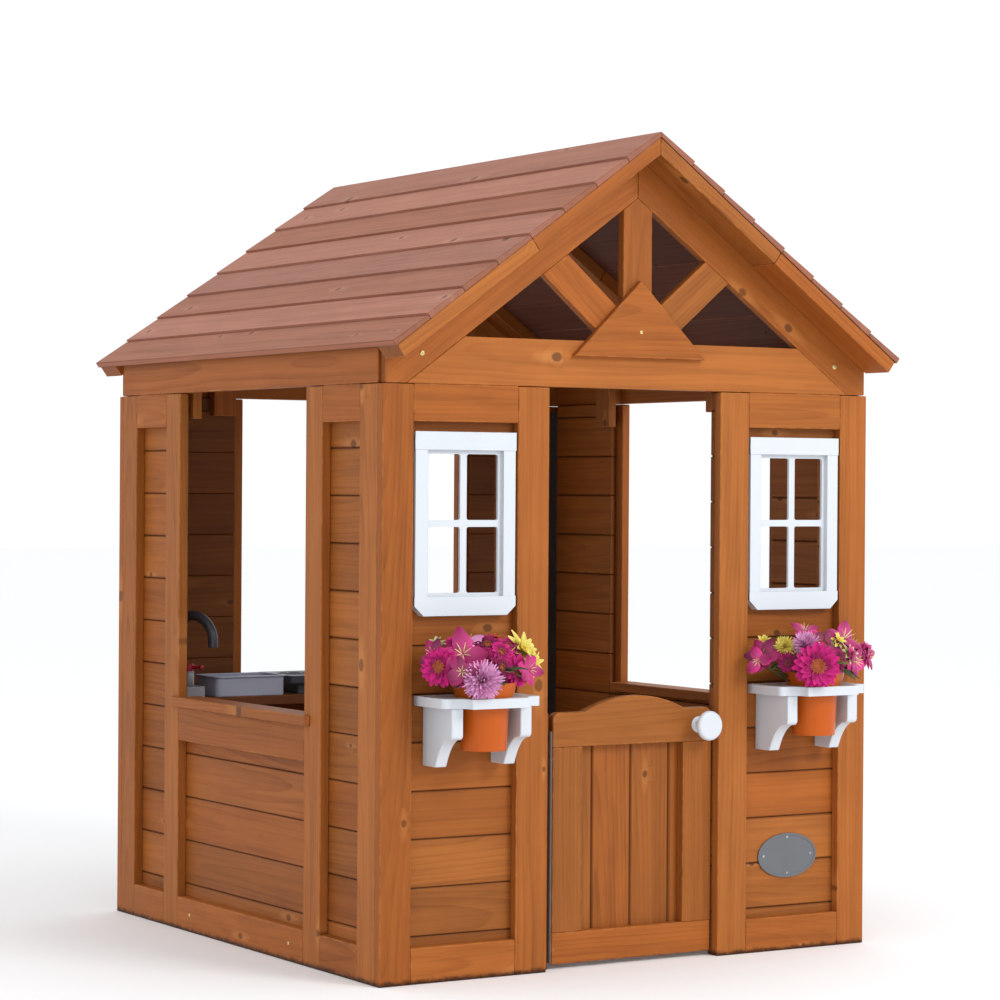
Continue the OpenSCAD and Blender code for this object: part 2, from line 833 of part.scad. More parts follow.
// A gooseneck that swivels in its socket, its mouth over the basin
module faucet_spout() {
    bend_z = spout_top - spout_r - spout_bend;
    low = counter_top + spout_seat + seat_gap;
    drop = 9;
    mouth_r = 6;
    placed("dimgray") translate([tap_x, spout_y, 0]) rotate([0, 0, spout_turn]) difference() {
        union() {
            translate([0, 0, low]) cylinder(r = spout_r, h = bend_z - low);
            translate([spout_bend, 0, bend_z]) rotate([90, 0, 0])
                rotate_extrude(angle = 180) translate([spout_bend, 0]) circle(spout_r);
            translate([2 * spout_bend, 0, bend_z - drop]) cylinder(r = spout_r, h = drop);
        }
        translate([2 * spout_bend, 0, bend_z - drop - 1]) cylinder(r = mouth_r, h = drop);
    }
}

// A four-armed tap handle on a spindle that turns in its stem
module tap_handle() {
    stem_top = counter_top + tap_base_h + 27;
    hub_h = 14;
    arm_l = 23;
    arm_r = 3;
    ball_r = 5;
    spindle_z = counter_top + tap_base_h + spindle_seat + seat_gap;
    placed("firebrick") translate([tap_x, tap_y, 0]) {
        translate([0, 0, spindle_z]) cylinder(r = spindle_r, h = stem_top + 1 - spindle_z);
        translate([0, 0, stem_top + 0.4]) cylinder(r = 8, h = hub_h);
        translate([0, 0, stem_top + hub_h / 2]) for (turn = [45:90:315])
            rotate([0, 0, turn]) {
                rotate([0, 90, 0]) cylinder(r = arm_r, h = arm_l);
                translate([arm_l, 0, 0]) sphere(ball_r);
            }
    }
}

// Two-ring hob: a plate on two feet
module stove() {
    foot_h = 20;
    foot_w = 34;
    foot_x = 46;
    foot_d = 112;
    plate_h = 34;
    ring_x = 42;
    ring_r = 33;
    ring_t = 5;
    ring_h = 1.5;
    placed("slategray") translate([stove_x, stove_y, counter_top]) {
        for (side = side_signs)
            translate([side * foot_x, 0, 0]) linear_extrude(foot_h + eps) round_square(foot_w, foot_d, 4);
        translate([0, 0, foot_h]) linear_extrude(plate_h - foot_h) round_square(stove_w, stove_d, 8);
        for (side = side_signs, r = [ring_r, ring_r / 2])
            translate([side * ring_x, 0, plate_h - eps]) linear_extrude(ring_h) difference() {
                circle(r);
                circle(r - ring_t);
            }
    }
}

// ---------------------------------------------------------------- plate and screws

plate_a = 62;
plate_b = 38;
plate_z = 160;
plate_x = panel_x;
plate_t = 3;

module name_plate() {
    border = 4;
    placed("gray") translate([plate_x, -face_back, plate_z]) rotate([90, 0, 0]) {
        linear_extrude(plate_t - 1) polygon(oval(plate_a, plate_b));
        translate([0, 0, plate_t - 1 - eps]) linear_extrude(1) difference() {
            polygon(oval(plate_a, plate_b));
            polygon(oval(plate_a - border, plate_b - border));
        }
    }
}

// A domed screw head seated on a face that looks along -Y
module screw_head(r, h) {
    rotate([90, 0, 0]) rotate_extrude() polygon([[0, 0], [r, 0], [r, h * 0.35], [r * 0.55, h], [0, h]]);
}

module screws() {
    gable_x = 412;
    gable_z = 1000;
    rail_z = 30;
    rail_screw_x = 187;
    plate_screw = [[-50, 0], [50, 0], [0, 31], [0, -31]];
    placed("gold") {
        both_sides() for (turn = [0, 180])
            rotate([0, 0, turn]) translate([gable_x, -half_d, gable_z]) screw_head(4.5, 2.2);
        for (p = plate_screw)
            translate([plate_x + p[0], -face_back - plate_t + 1, plate_z + p[1]]) screw_head(2.4, 1.2);
        translate([0, -half_d - plaque_t, plaque_z + plaque_h / 3]) screw_head(3, 1);
        for (side = side_signs)
            on_side(side) both_sides() translate([rail_screw_x, 0, rail_z]) screw_head(3, 1);
        on_back() both_sides() translate([rail_screw_x, 0, rail_z]) screw_head(3, 1);
    }
}

front_corner_posts();
front_door_posts();
front_rails();
front_left_boards();
front_right_boards();
left_side_posts();
right_side_posts();
side_rails();
left_side_boards();
right_side_boards();
back_posts();
back_rails();
back_boards();
sills();
hinge_post();
door_stop();
corner_hinges();
front_chord();
front_rafters();
front_king_post();
front_struts();
gable_plaque();
rear_chord();
rear_rafters();
rear_web();
side_plates();
roof_left_upper();
roof_left_lower();
roof_right_upper();
roof_right_lower();
roof_rakes();
roof_battens();
roof_cleats();
left_window();
right_window();
left_planter_shelf();
right_planter_shelf();
planter_brackets();
left_pot();
right_pot();
left_bouquet();
right_bouquet();
door_stiles();
door_top_rail();
door_bottom_rail();
door_boards();
door_knob();
door_hinge_leaf();
post_hinge_leaf();
hinge_pin();
counter();
counter_supports();
sink();
faucet_base();
faucet_spout();
tap_handle();
stove();
name_plate();
screws();
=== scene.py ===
"""Looks for the garden playhouse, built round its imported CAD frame. Metres, +Z up, front towards -Y."""

import json
import math
import random

import bmesh
import bpy
from mathutils import Matrix, Vector


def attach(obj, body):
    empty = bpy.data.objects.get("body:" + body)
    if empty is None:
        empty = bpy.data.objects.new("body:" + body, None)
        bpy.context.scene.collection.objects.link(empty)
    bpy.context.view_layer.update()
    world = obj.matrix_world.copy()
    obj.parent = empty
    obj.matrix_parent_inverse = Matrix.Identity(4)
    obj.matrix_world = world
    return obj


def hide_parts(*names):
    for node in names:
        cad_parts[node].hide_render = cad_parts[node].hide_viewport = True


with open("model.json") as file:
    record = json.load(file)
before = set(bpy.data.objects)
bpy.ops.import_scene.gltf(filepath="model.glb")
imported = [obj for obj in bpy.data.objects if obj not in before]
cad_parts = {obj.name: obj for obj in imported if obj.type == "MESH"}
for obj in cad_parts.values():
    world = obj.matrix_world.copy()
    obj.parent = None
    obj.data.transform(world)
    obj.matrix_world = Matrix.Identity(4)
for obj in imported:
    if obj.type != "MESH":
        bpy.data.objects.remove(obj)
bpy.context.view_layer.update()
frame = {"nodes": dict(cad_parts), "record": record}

HOUSE_Y = 0.0405  # the house's middle lies this far behind the origin
NODE_BODY = {n: b for b, ns in frame["record"]["behaviour"]["bodies"].items() for n in ns}


# ---------------------------------------------------------------- material graphs

# places of the colour sockets on a Mix node
MIX_A = 6
MIX_B = 7
MIX_RESULT = 2


class Graph:
    """A material and short names for its nodes. Inputs take a socket or a plain value."""

    def __init__(self, name):
        self.mat = bpy.data.materials.new(name)
        self.mat.use_nodes = True
        self.tree = self.mat.node_tree
        self.tree.nodes.clear()

    def node(self, kind, inputs=(), **settings):
        made = self.tree.nodes.new("ShaderNode" + kind)
        for key, value in settings.items():
            setattr(made, key, value)
        for key, value in dict(inputs).items():
            self.put(made.inputs[key], value)
        return made

    def put(self, socket, value):
        if isinstance(value, bpy.types.NodeSocket):
            self.tree.links.new(value, socket)
        elif value is not None:
            socket.default_value = value

    def math(self, operation, a, b=None, c=None, clamp=False):
        made = self.node("Math", operation=operation, use_clamp=clamp)
        for socket, value in zip(made.inputs, (a, b, c)):
            self.put(socket, value)
        return made.outputs[0]

    def vector(self, operation, a, b=None):
        made = self.node("VectorMath", operation=operation)
        self.put(made.inputs[0], a)
        if operation == "SCALE":
            self.put(made.inputs["Scale"], b)
        else:
            self.put(made.inputs[1], b)
        return made.outputs["Value" if operation in ("LENGTH", "DISTANCE", "DOT_PRODUCT") else "Vector"]

    def split(self, vector):
        return self.node("SeparateXYZ", {"Vector": vector}).outputs

    def join(self, x, y, z):
        return self.node("CombineXYZ", {"X": x, "Y": y, "Z": z}).outputs[0]

    def attribute(self, name):
        return self.node("Attribute", attribute_name=name).outputs["Vector"]

    def noise(self, vector, scale, detail=2.0, roughness=0.5, out="Fac"):
        made = self.node("TexNoise", {"Vector": vector, "Scale": scale, "Detail": detail,
                                      "Roughness": roughness})
        return made.outputs[out]

    def span(self, value, low, high, to_low=0.0, to_high=1.0):
        made = self.node("MapRange", {"Value": value, "From Min": low, "From Max": high,
                                      "To Min": to_low, "To Max": to_high}, interpolation_type="SMOOTHSTEP")
        return made.outputs[0]

    def mix(self, a, b, factor):
        made = self.node("Mix", data_type="RGBA", blend_type="MIX")
        self.put(made.inputs["Factor"], factor)
        self.put(made.inputs[MIX_A], a)
        self.put(made.inputs[MIX_B], b)
        return made.outputs[MIX_RESULT]

    def bump(self, height, distance, strength=1.0):
        made = self.node("Bump", {"Height": height, "Distance": distance, "Strength": strength})
        return made.outputs[0]

    def finish(self, color, roughness, normal=None, **inputs):
        """A principled surface. Further inputs are given by their names with _ for a space."""
        shader = self.node("BsdfPrincipled")
        self.put(shader.inputs["Base Color"], color)
        self.put(shader.inputs["Roughness"], roughness)
        if normal is not None:
            self.put(shader.inputs["Normal"], normal)
        for key, value in inputs.items():
            self.put(shader.inputs[key.replace("_", " ")], value)
        out = self.node("OutputMaterial")
        self.tree.links.new(shader.outputs[0], out.inputs["Surface"])
        return self.mat


def rgb(r, g, b):
    """Linear colour from screen values 0 to 255."""
    return tuple(((c / 255 + 0.055) / 1.055) ** 2.4 if c > 10 else c / 3294 for c in (r, g, b)) + (1.0,)


# ---------------------------------------------------------------- wood

KNOT_CELL = 0.115   # metres from one possible knot to the next
RING_STEP = 0.0065  # metres from one growth ring to the next


def wood(name, light, dark, knot, halo, ring_depth=0.5, knots=0.32, rough=0.5, wear=0.5):
    """Stained softwood: curved growth rings, fibres, knots with pale halos, worn edges, end grain."""
    g = Graph(name)
    u, v, w = g.split(g.attribute("grain"))
    tint, warmth, seed = g.split(g.attribute("board"))
    # wear holds rubbed edges, end grain and the amount of painted shade
    edge, end, seam = g.split(g.attribute("wear"))
    rest = g.attribute("rest")
    rest_z = g.split(rest)[2]

    # knots: one to a cell of the board's face, some of them left out
    cell = g.join(g.math("DIVIDE", u, KNOT_CELL), g.math("DIVIDE", v, KNOT_CELL), 0.0)
    cell = g.vector("ADD", cell, g.join(g.math("MULTIPLY", seed, 31.0), 0.0, 0.0))
    spots = g.node("TexVoronoi", {"Vector": cell, "Scale": 1.0, "Randomness": 1.0}, voronoi_dimensions="2D")
    away = g.vector("SCALE", g.vector("SUBTRACT", cell, spots.outputs["Position"]), KNOT_CELL)
    along, across, _ = g.split(away)
    pick, size, shade = g.split(spots.outputs["Color"])
    present = g.math("LESS_THAN", pick, knots)
    radius = g.math("MULTIPLY", g.math("MULTIPLY_ADD", size, 0.005, 0.0028), present)
    radius = g.math("ADD", radius, 0.00001)
    wobble = g.math("MULTIPLY", g.math("SUBTRACT", g.noise(g.attribute("grain"), 260.0, 2.0), 0.5), 0.003)
    near = g.math("ADD", g.math("SQRT", g.math("ADD", g.math("POWER", g.math("MULTIPLY", along, 0.75), 2.0),
                                               g.math("POWER", across, 2.0))), wobble)
    core = g.span(g.math("DIVIDE", near, radius), 0.75, 1.25, 1.0, 0.0)
    swirl = g.span(g.math("DIVIDE", near, radius), 0.4, 4.2, 1.0, 0.0)
    flame = g.math("SQRT", g.math("ADD", g.math("POWER", g.math("MULTIPLY", along, 0.3), 2.0),
                                  g.math("POWER", g.math("MULTIPLY", across, 1.3), 2.0)))
    pale = g.span(g.math("DIVIDE", flame, radius), 0.7, 2.6, 1.0, 0.0)

    # rings round the pith, bent by slow noise along the grain and by the knots
    slow = g.join(g.math("MULTIPLY", u, 2.2), g.math("MULTIPLY", v, 9.0), g.math("MULTIPLY", w, 9.0))
    drift = g.vector("SUBTRACT", g.noise(slow, 1.0, 2.0, out="Color"), (0.5, 0.5, 0.5))
    bend = g.vector("SCALE", drift, 0.016)
    plane = g.vector("MULTIPLY", g.vector("ADD", g.attribute("grain"), bend), (0.0, 1.0, 1.0))
    from_pith = g.math("ADD", g.vector("LENGTH", plane), g.math("MULTIPLY", swirl, 0.011))
    phase = g.math("FRACT", g.math("DIVIDE", from_pith, RING_STEP))
    late = g.math("POWER", phase, 2.6)
    late = g.math("MULTIPLY", late, g.span(phase, 0.93, 1.0, 1.0, 0.0))
    strong = g.span(g.noise(slow, 0.7, 1.0), 0.3, 0.75, 0.35, 1.0)
    ring = g.math("MULTIPLY", g.math("MULTIPLY", late, strong), ring_depth)

    fibre_at = g.join(g.math("MULTIPLY", u, 5.0), g.math("MULTIPLY", v, 420.0), g.math("MULTIPLY", w, 420.0))
    fibre = g.noise(fibre_at, 1.0, 3.0, 0.65)
    streak_at = g.join(g.math("MULTIPLY", u, 1.6), g.math("MULTIPLY", v, 60.0), g.math("MULTIPLY", w, 60.0))
    streak = g.noise(streak_at, 1.0, 3.0, 0.55)
    blotch = g.noise(g.join(g.math("MULTIPLY", u, 7.0), g.math("MULTIPLY", v, 16.0), w), 1.0, 3.0, 0.6)

    amount = g.math("ADD", ring, g.math("MULTIPLY", g.span(streak, 0.35, 0.72), 0.3))
    amount = g.math("ADD", amount, g.math("MULTIPLY", g.span(fibre, 0.4, 0.75), 0.14))
    amount = g.math("ADD", amount, g.math("MULTIPLY", g.math("SUBTRACT", blotch, 0.5), 0.5), clamp=True)
    color = g.mix(light, dark, amount)
    color = g.mix(color, halo, g.math("MULTIPLY", g.math("MULTIPLY", pale, present), 0.5))
    dark_knot = g.mix(knot, dark, g.math("MULTIPLY", shade, 0.6))
    color = g.mix(color, dark_knot, g.math("MULTIPLY", g.math("MULTIPLY", core, present), 0.66))

    # each board takes the stain in its own way
    level = g.math("MULTIPLY_ADD", tint, 0.42, 0.79)
    color = g.vector("MULTIPLY", color, g.join(level, level, level))
    green = g.math("MULTIPLY_ADD", warmth, 0.14, 0.93)
    blue = g.math("MULTIPLY_ADD", warmth, 0.34, 0.83)
    color = g.vector("MULTIPLY", color, g.join(1.0, green, blue))

    # pale rubbed edges, darker end grain, painted shade on sheltered faces and in the joints, chips where
    # the timber meets the ground
    rub = g.math("MULTIPLY", edge, g.span(g.noise(rest, 55.0, 3.0), 0.42, 0.68))
    color = g.mix(color, halo, g.math("MULTIPLY", rub, wear))
    color = g.mix(color, dark, g.math("MULTIPLY", end, 0.55))
    # painted shade, as strong as the third part of wear
    color = g.mix(color, knot, g.math("MULTIPLY", seam, 0.6))
    foot = g.math("SUBTRACT", rest_z, g.math("MULTIPLY", g.noise(rest, 60.0, 4.0, 0.7), 0.016))
    chip = g.span(foot, -0.006, 0.003, 1.0, 0.0)
    color = g.mix(color, knot, g.math("MULTIPLY", chip, 0.9))

    gloss = g.math("MULTIPLY_ADD", g.math("SUBTRACT", fibre, 0.5), 0.25, rough)
    gloss = g.math("ADD", gloss, g.math("MULTIPLY", ring, 0.12))
    height = g.math("SUBTRACT", g.math("MULTIPLY", fibre, 0.55), g.math("MULTIPLY", ring, 0.5))
    height = g.math("SUBTRACT", height, g.math("MULTIPLY", g.math("MULTIPLY", core, present), 0.5))
    return g.finish(color, gloss, g.bump(height, 0.0006, 0.55), Specular_IOR_Level=0.16)


CEDAR = wood("cedar", rgb(160, 92, 38), rgb(104, 54, 20), rgb(44, 20, 10), rgb(184, 118, 62),
             ring_depth=0.34)
ROOF = wood("roof_cedar", rgb(170, 111, 88), rgb(126, 78, 60), rgb(60, 30, 22), rgb(184, 130, 106),
            ring_depth=0.3, knots=0.3, rough=0.6, wear=0.3)
# painted shade: a darker copy of the cedar for the counter inside the house
SHADED_COUNTER = wood("shaded_counter_cedar", rgb(120, 70, 36), rgb(78, 40, 18), rgb(36, 18, 9), rgb(150, 98, 56))

# ---------------------------------------------------------------- shapes from the CAD nodes

AXES = [Vector((1, 0, 0)), Vector((0, 1, 0)), Vector((0, 0, 1))]
SHARP = 0.35              # radians; edges bent by more than this are rounded
WELD = 2e-6               # metres; CAD points closer than this are one point
FLAT = math.radians(0.6)  # faces that meet at less than this are one flat face

# tongues inside the joints between boards, in metres
TONGUE_GAP = 0.0016   # widest joint that gets a tongue
TONGUE_LAP = 0.0004   # most that two boards may lap and still count as neighbours
TONGUE_HALF = 0.0048  # how far a tongue reaches into each board
TONGUE_T = 0.002      # thickness
TONGUE_END = 0.001    # a tongue stops this far short of the boards' ends
SHORTEST_JOINT = 0.02
THINNEST_JOINT = 0.003

# the six faces of a box given by its eight corners
BOX_FACES = [(0, 1, 3, 2), (4, 6, 7, 5), (0, 4, 5, 1), (2, 3, 7, 6), (0, 2, 6, 4), (1, 5, 7, 3)]


def solids(node):
    """The closed solids of a CAD node, each as a mesh of its own with its flat faces made whole."""
    whole = bmesh.new()
    whole.from_mesh(frame["nodes"][node].data)
    bmesh.ops.remove_doubles(whole, verts=whole.verts, dist=WELD)
    bmesh.ops.dissolve_limit(whole, angle_limit=FLAT, verts=whole.verts, edges=whole.edges)
    whole.verts.index_update()
    owner = [-1] * len(whole.verts)
    count = 0
    for start in whole.verts:
        if owner[start.index] >= 0:
            continue
        owner[start.index] = count
        heap = [start]
        while heap:
            for e in heap.pop().link_edges:
                for other in e.verts:
                    if owner[other.index] < 0:
                        owner[other.index] = count
                        heap.append(other)
        count += 1
    parts = [(bmesh.new(), {}) for _ in range(count)]
    for face in whole.faces:
        part, index = parts[owner[face.verts[0].index]]
        for vert in face.verts:
            if vert.index not in index:
                index[vert.index] = part.verts.new(vert.co)
        part.faces.new([index[vert.index] for vert in face.verts])
    whole.free()
    made = [part for part, _ in parts if part.faces]
    for part in made:
        part.normal_update()
    return made


def strongest(weighted):
    """The direction with the most weight, opposite directions taken as one."""
    kinds = []
    for direction, weight in weighted:
        for kind in kinds:
            if abs(kind[0].dot(direction)) > 0.996:
                kind[1] += weight
                break
        else:
            kinds.append([direction.copy(), weight])
    return max(kinds, key=lambda kind: kind[1])[0]


def board_axes(solid):
    """(length, width, thickness) directions of a board."""
    thick = strongest([(f.normal, f.calc_area()) for f in solid.faces])
    runs = []
    for e in solid.edges:
        run = e.verts[1].co - e.verts[0].co
        length = run.length
        if length > 1e-5 and abs(run.normalized().dot(thick)) < 0.1:
            runs.append((run.normalized(), length))
    along = strongest(runs)
    return along, thick.cross(along).normalized(), thick


def new_object(name, verts, faces, material):
    mesh = bpy.data.meshes.new(name)
    mesh.from_pydata(verts, [], faces)
    mesh.materials.append(material)
    mesh.shade_smooth()
    made = bpy.data.objects.new(name, mesh)
    bpy.context.scene.collection.objects.link(made)
    return made


def attribute(mesh, name, domain, values):
    """A vector on every point or face of a mesh, for the shaders to read."""
    data = mesh.attributes.new(name, "FLOAT_VECTOR", domain)
    data.data.foreach_set("vector", [c for value in values for c in value])


def adopt(piece, node):
    """The piece stands for a CAD node and moves with the node's body."""
    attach(piece, NODE_BODY[node])
    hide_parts(node)
    return piece


def flat_shading(piece):
    """Flat faces stay flat between rounded edges."""
    weigh = piece.modifiers.new("even", "WEIGHTED_NORMAL")
    weigh.weight = 100
    weigh.keep_sharp = False


def reach(points, direction):
    """How far points run along a direction: (nearest, furthest)."""
    far = [p.dot(direction) for p in points]
    return min(far), max(far)


def extent(points):
    """How far points run along x, y and z."""
    return [reach(points, axis) for axis in AXES]


def around(axis, angle):
    """A direction square to an axis, turned round it by an angle."""
    first = axis.orthogonal().normalized()
    return first * math.cos(angle) + axis.cross(first) * math.sin(angle)


def round_edges(solid, radius, segments, inner=True):
    """Rounds a solid's sharp edges, inner corners too unless inner is False. Gives the new faces."""
    edges = [e for e in solid.edges if e.is_manifold and e.calc_face_angle(0) > SHARP
             and (inner or e.is_convex)]
    cut = bmesh.ops.bevel(solid, geom=edges, offset=radius, offset_type="OFFSET", segments=segments,
                          profile=0.5, affect="EDGES", clamp_overlap=True)
    solid.verts.index_update()
    return set(cut["faces"])


def tongues(boards):
    """Thin strips inside the joints of neighbouring boards, so that no light passes between them.

    boards holds (points, (along, wide, thick)); each strip is given by its eight corners.
    """
    strips = []
    for i, (first, axes) in enumerate(boards):
        for second, other_axes in boards[i + 1:]:
            if abs(axes[0].dot(other_axes[0])) < 0.99 or abs(axes[2].dot(other_axes[2])) < 0.98:
                continue
            spans = [(reach(first, a), reach(second, a)) for a in axes]
            (a0, a1), (w0, w1), (t0, t1) = [(max(f[0], s[0]), min(f[1], s[1])) for f, s in spans]
            if not TONGUE_GAP > w0 - w1 > -TONGUE_LAP:
                continue
            if a1 - a0 <= SHORTEST_JOINT or t1 - t0 <= THINNEST_JOINT:
                continue
            seam, middle = (w0 + w1) / 2, (t0 + t1) / 2
            strips.append([axes[0] * a + axes[1] * w + axes[2] * t
                           for a in (a0 + TONGUE_END, a1 - TONGUE_END)
                           for w in (seam - TONGUE_HALF, seam + TONGUE_HALF)
                           for t in (middle - TONGUE_T / 2, middle + TONGUE_T / 2)])
    return strips


def timber(node, material, round_m, tint=(0.0, 1.0), jointed=False, shaded=None, shade=0.0):
    """Every solid of a CAD node as a board of its own, with rounded edges and its own grain.

    Faces that look along shaded get painted shade, darker by shade, as on the sheltered side of the boards.
    """
    rand = random.Random(node)
    verts, faces, grain, board, wear, rest = [], [], [], [], [], []
    boards = []
    for solid in solids(node):
        along, wide, thick = board_axes(solid)
        boards.append(([v.co.copy() for v in solid.verts], (along, wide, thick)))
        centre = sum((v.co for v in solid.verts), Vector()) / len(solid.verts)
        start = rand.uniform(0, 20)
        pith_v = rand.uniform(-0.06, 0.06)
        pith_w = rand.choice((-1, 1)) * rand.uniform(0.015, 0.07)
        slant = rand.uniform(-0.05, 0.05)
        own = (rand.uniform(*tint), rand.random(), rand.random())
        bevelled = round_edges(solid, round_m * rand.uniform(0.8, 1.3), 2)
        base = len(verts)
        for v in solid.verts:
            away = v.co - centre
            lengthwise = away.dot(along)
            grain.append((lengthwise + start, away.dot(wide) + pith_v,
                          away.dot(thick) + pith_w + slant * lengthwise))
            board.append(own)
            rest.append(tuple(v.co))
            verts.append(tuple(v.co))
        for f in solid.faces:
            faces.append([v.index + base for v in f.verts])
            is_end = abs(f.normal.dot(along)) > 0.8 and f not in bevelled
            bevel = 1.0 if f in bevelled else 0.0
            # painted shade on the faces that look along shaded
            stain = shade if shaded and f.normal.dot(Vector(shaded)) > 0.6 else 0.0
            # painted shade on the rounded edges of jointed boards, where they meet in the joints
            stain = max(stain, bevel * 0.6) if jointed else stain
            wear.append((0.0 if jointed else bevel, 1.0 if is_end else 0.0, stain))
        solid.free()
    for corners in tongues(boards) if jointed else []:
        base = len(verts)
        verts += [tuple(c) for c in corners]
        grain += [tuple(c) for c in corners]
        rest += [tuple(c) for c in corners]
        board += [(0.0, 0.5, 0.5)] * len(corners)
        faces += [[i + base for i in f] for f in BOX_FACES]
        # the tongues get full painted shade, dark as the shade in the joints
        wear += [(0.0, 0.0, 1.0)] * len(BOX_FACES)
    piece = new_object(node + "_timber", verts, faces, material)
    attribute(piece.data, "grain", "POINT", grain)
    attribute(piece.data, "board", "POINT", board)
    attribute(piece.data, "rest", "POINT", rest)
    attribute(piece.data, "wear", "FACE", wear)
    flat_shading(piece)
    return adopt(piece, node)


def rounded(node, material, round_m, segments=3, inner=True):
    """A CAD node with its edges rounded, for moulded and turned pieces."""
    verts, faces = [], []
    for solid in solids(node):
        round_edges(solid, round_m, segments, inner)
        base = len(verts)
        verts += [tuple(v.co) for v in solid.verts]
        faces += [[v.index + base for v in f.verts] for f in solid.faces]
        solid.free()
    piece = new_object(node + "_skin", verts, faces, material)
    attribute(piece.data, "rest", "POINT", verts)
    flat_shading(piece)
    return adopt(piece, node)


WALL_BOARDS = ["front_left_boards", "front_right_boards", "left_side_boards", "right_side_boards",
               "back_boards"]
FRAMING = ["front_corner_posts", "front_door_posts", "front_rails", "left_side_posts", "right_side_posts",
           "side_rails", "back_posts", "back_rails", "sills", "hinge_post", "door_stop", "front_chord",
           "front_rafters", "front_king_post", "front_struts", "gable_plaque", "rear_chord", "rear_rafters",
           "rear_web", "side_plates", "roof_rakes", "roof_battens", "roof_cleats", "door_stiles",
           "door_top_rail", "door_bottom_rail", "counter_supports"]
ROOF_PANELS = ["roof_left_upper", "roof_left_lower", "roof_right_upper", "roof_right_lower"]

for name in WALL_BOARDS:
    # painted shade on the back wall's inner faces
    inside = (0, -1, 0) if name == "back_boards" else None
    # painted light: the right wall's boards get a lighter tint, standing in for light on its inner face
    tint = (0.75, 1.0) if name == "right_side_boards" else (0.0, 0.9)
    timber(name, CEDAR, 0.0022, tint, jointed=True, shaded=inside, shade=0.85)
for name in FRAMING:
    timber(name, CEDAR, 0.0018, (0.3, 1.0))
for name in ROOF_PANELS:
    # painted shade on the roof's undersides
    timber(name, ROOF, 0.0011, (0.25, 0.8), jointed=True, shaded=(0, 0, -1), shade=1.2)
timber("door_boards", CEDAR, 0.0032, (0.3, 0.9), jointed=True)
timber("counter", SHADED_COUNTER, 0.0015)

# ---------------------------------------------------------------- plastics and metals

def plastic(name, color, rough, mottle, dirt, dirt_amount, shine=0.5):
    """Moulded plastic with faint mottling, handling dirt and a fine skin texture."""
    g = Graph(name)
    rest = g.attribute("rest")
    cloud = g.noise(rest, 14.0, 4.0, 0.6)
    fine = g.noise(rest, 900.0, 2.0)
    level = g.math("MULTIPLY_ADD", g.math("SUBTRACT", cloud, 0.5), mottle * 4, 1.0)
    shade = g.vector("MULTIPLY", color[:3], g.join(level, level, level))
    stain = g.span(g.noise(rest, 38.0, 5.0, 0.7), 0.6, 0.8)
    shade = g.mix(shade, dirt, g.math("MULTIPLY", stain, dirt_amount))
    gloss = g.math("ADD", g.math("MULTIPLY_ADD", g.math("SUBTRACT", cloud, 0.5), 0.3, rough),
                   g.math("MULTIPLY", stain, 0.15))
    return g.finish(shade, gloss, g.bump(fine, 0.0002, 0.35), Specular_IOR_Level=shine)


def metal(name, color, rough):
    """Metal with fine scratches and duller patches."""
    g = Graph(name)
    rest = g.attribute("rest")
    patch = g.span(g.noise(rest, 70.0, 4.0, 0.65), 0.35, 0.7)
    lines = g.noise(g.vector("MULTIPLY", rest, (900.0, 900.0, 60.0)), 1.0, 2.0)
    dull = tuple(c * 0.5 for c in color[:3]) + (1.0,)
    shade = g.mix(color, dull, g.math("MULTIPLY", patch, 0.6))
    gloss = g.math("ADD", g.math("MULTIPLY", lines, 0.3), g.math("MULTIPLY_ADD", patch, 0.2, rough))
    return g.finish(shade, gloss, g.bump(lines, 0.0001, 0.3), Metallic=1.0)


WHITE = plastic("white_plastic", rgb(206, 211, 217), 0.36, 0.01, rgb(160, 152, 144), 0.1)
ORANGE = plastic("orange_plastic", rgb(186, 84, 8), 0.32, 0.03, rgb(130, 58, 12), 0.2, shine=0.25)
SINK = plastic("blue_grey_plastic", rgb(164, 169, 186), 0.3, 0.03, rgb(90, 92, 100), 0.3)
PALE_GREY = plastic("light_grey_plastic", rgb(150, 152, 158), 0.4, 0.03, rgb(120, 116, 110), 0.3)
DARK_GREY = plastic("dark_grey_plastic", rgb(60, 62, 70), 0.36, 0.05, rgb(50, 50, 56), 0.3)
RED = plastic("red_plastic", rgb(150, 20, 40), 0.25, 0.05, rgb(80, 10, 20), 0.3)
PLATE = plastic("plate_grey", rgb(98, 101, 105), 0.42, 0.05, rgb(80, 80, 84), 0.4)
# painted light: the black steel gets a lighter grey than black, standing in for light on the dark strips in
# shade
BLACK = plastic("black_steel", rgb(94, 84, 80), 0.45, 0.1, rgb(70, 60, 52), 0.4)
ZINC = metal("zinc_steel", rgb(190, 190, 192), 0.3)
BRASS = metal("brass_screws", rgb(244, 222, 150), 0.2)

windows = [rounded(name, WHITE, 0.0014) for name in ("left_window", "right_window")]
for name in ["left_planter_shelf", "right_planter_shelf"]:
    rounded(name, WHITE, 0.0028, 4)
rounded("planter_brackets", WHITE, 0.0022, 4)
for name in ["left_pot", "right_pot"]:
    rounded(name, ORANGE, 0.0006, 2)
rounded("door_knob", WHITE, 0.0004, 2)
rounded("sink", SINK, 0.0012)
# sharp floors in the base's sockets leave room for the spout's and the spindle's feet
rounded("faucet_base", PALE_GREY, 0.0016, inner=False)
rounded("faucet_spout", DARK_GREY, 0.0005, 2)
rounded("tap_handle", RED, 0.0008, 2)
rounded("stove", DARK_GREY, 0.0015)
rounded("name_plate", PLATE, 0.0004, 2)
rounded("corner_hinges", BLACK, 0.0004, 2)
rounded("door_hinge_leaf", BLACK, 0.0002, 1)
rounded("post_hinge_leaf", BLACK, 0.0002, 1)
rounded("hinge_pin", BLACK, 0.0002, 1)
heads = rounded("screws", BRASS, 0.0003, 2)

# ---------------------------------------------------------------- fittings

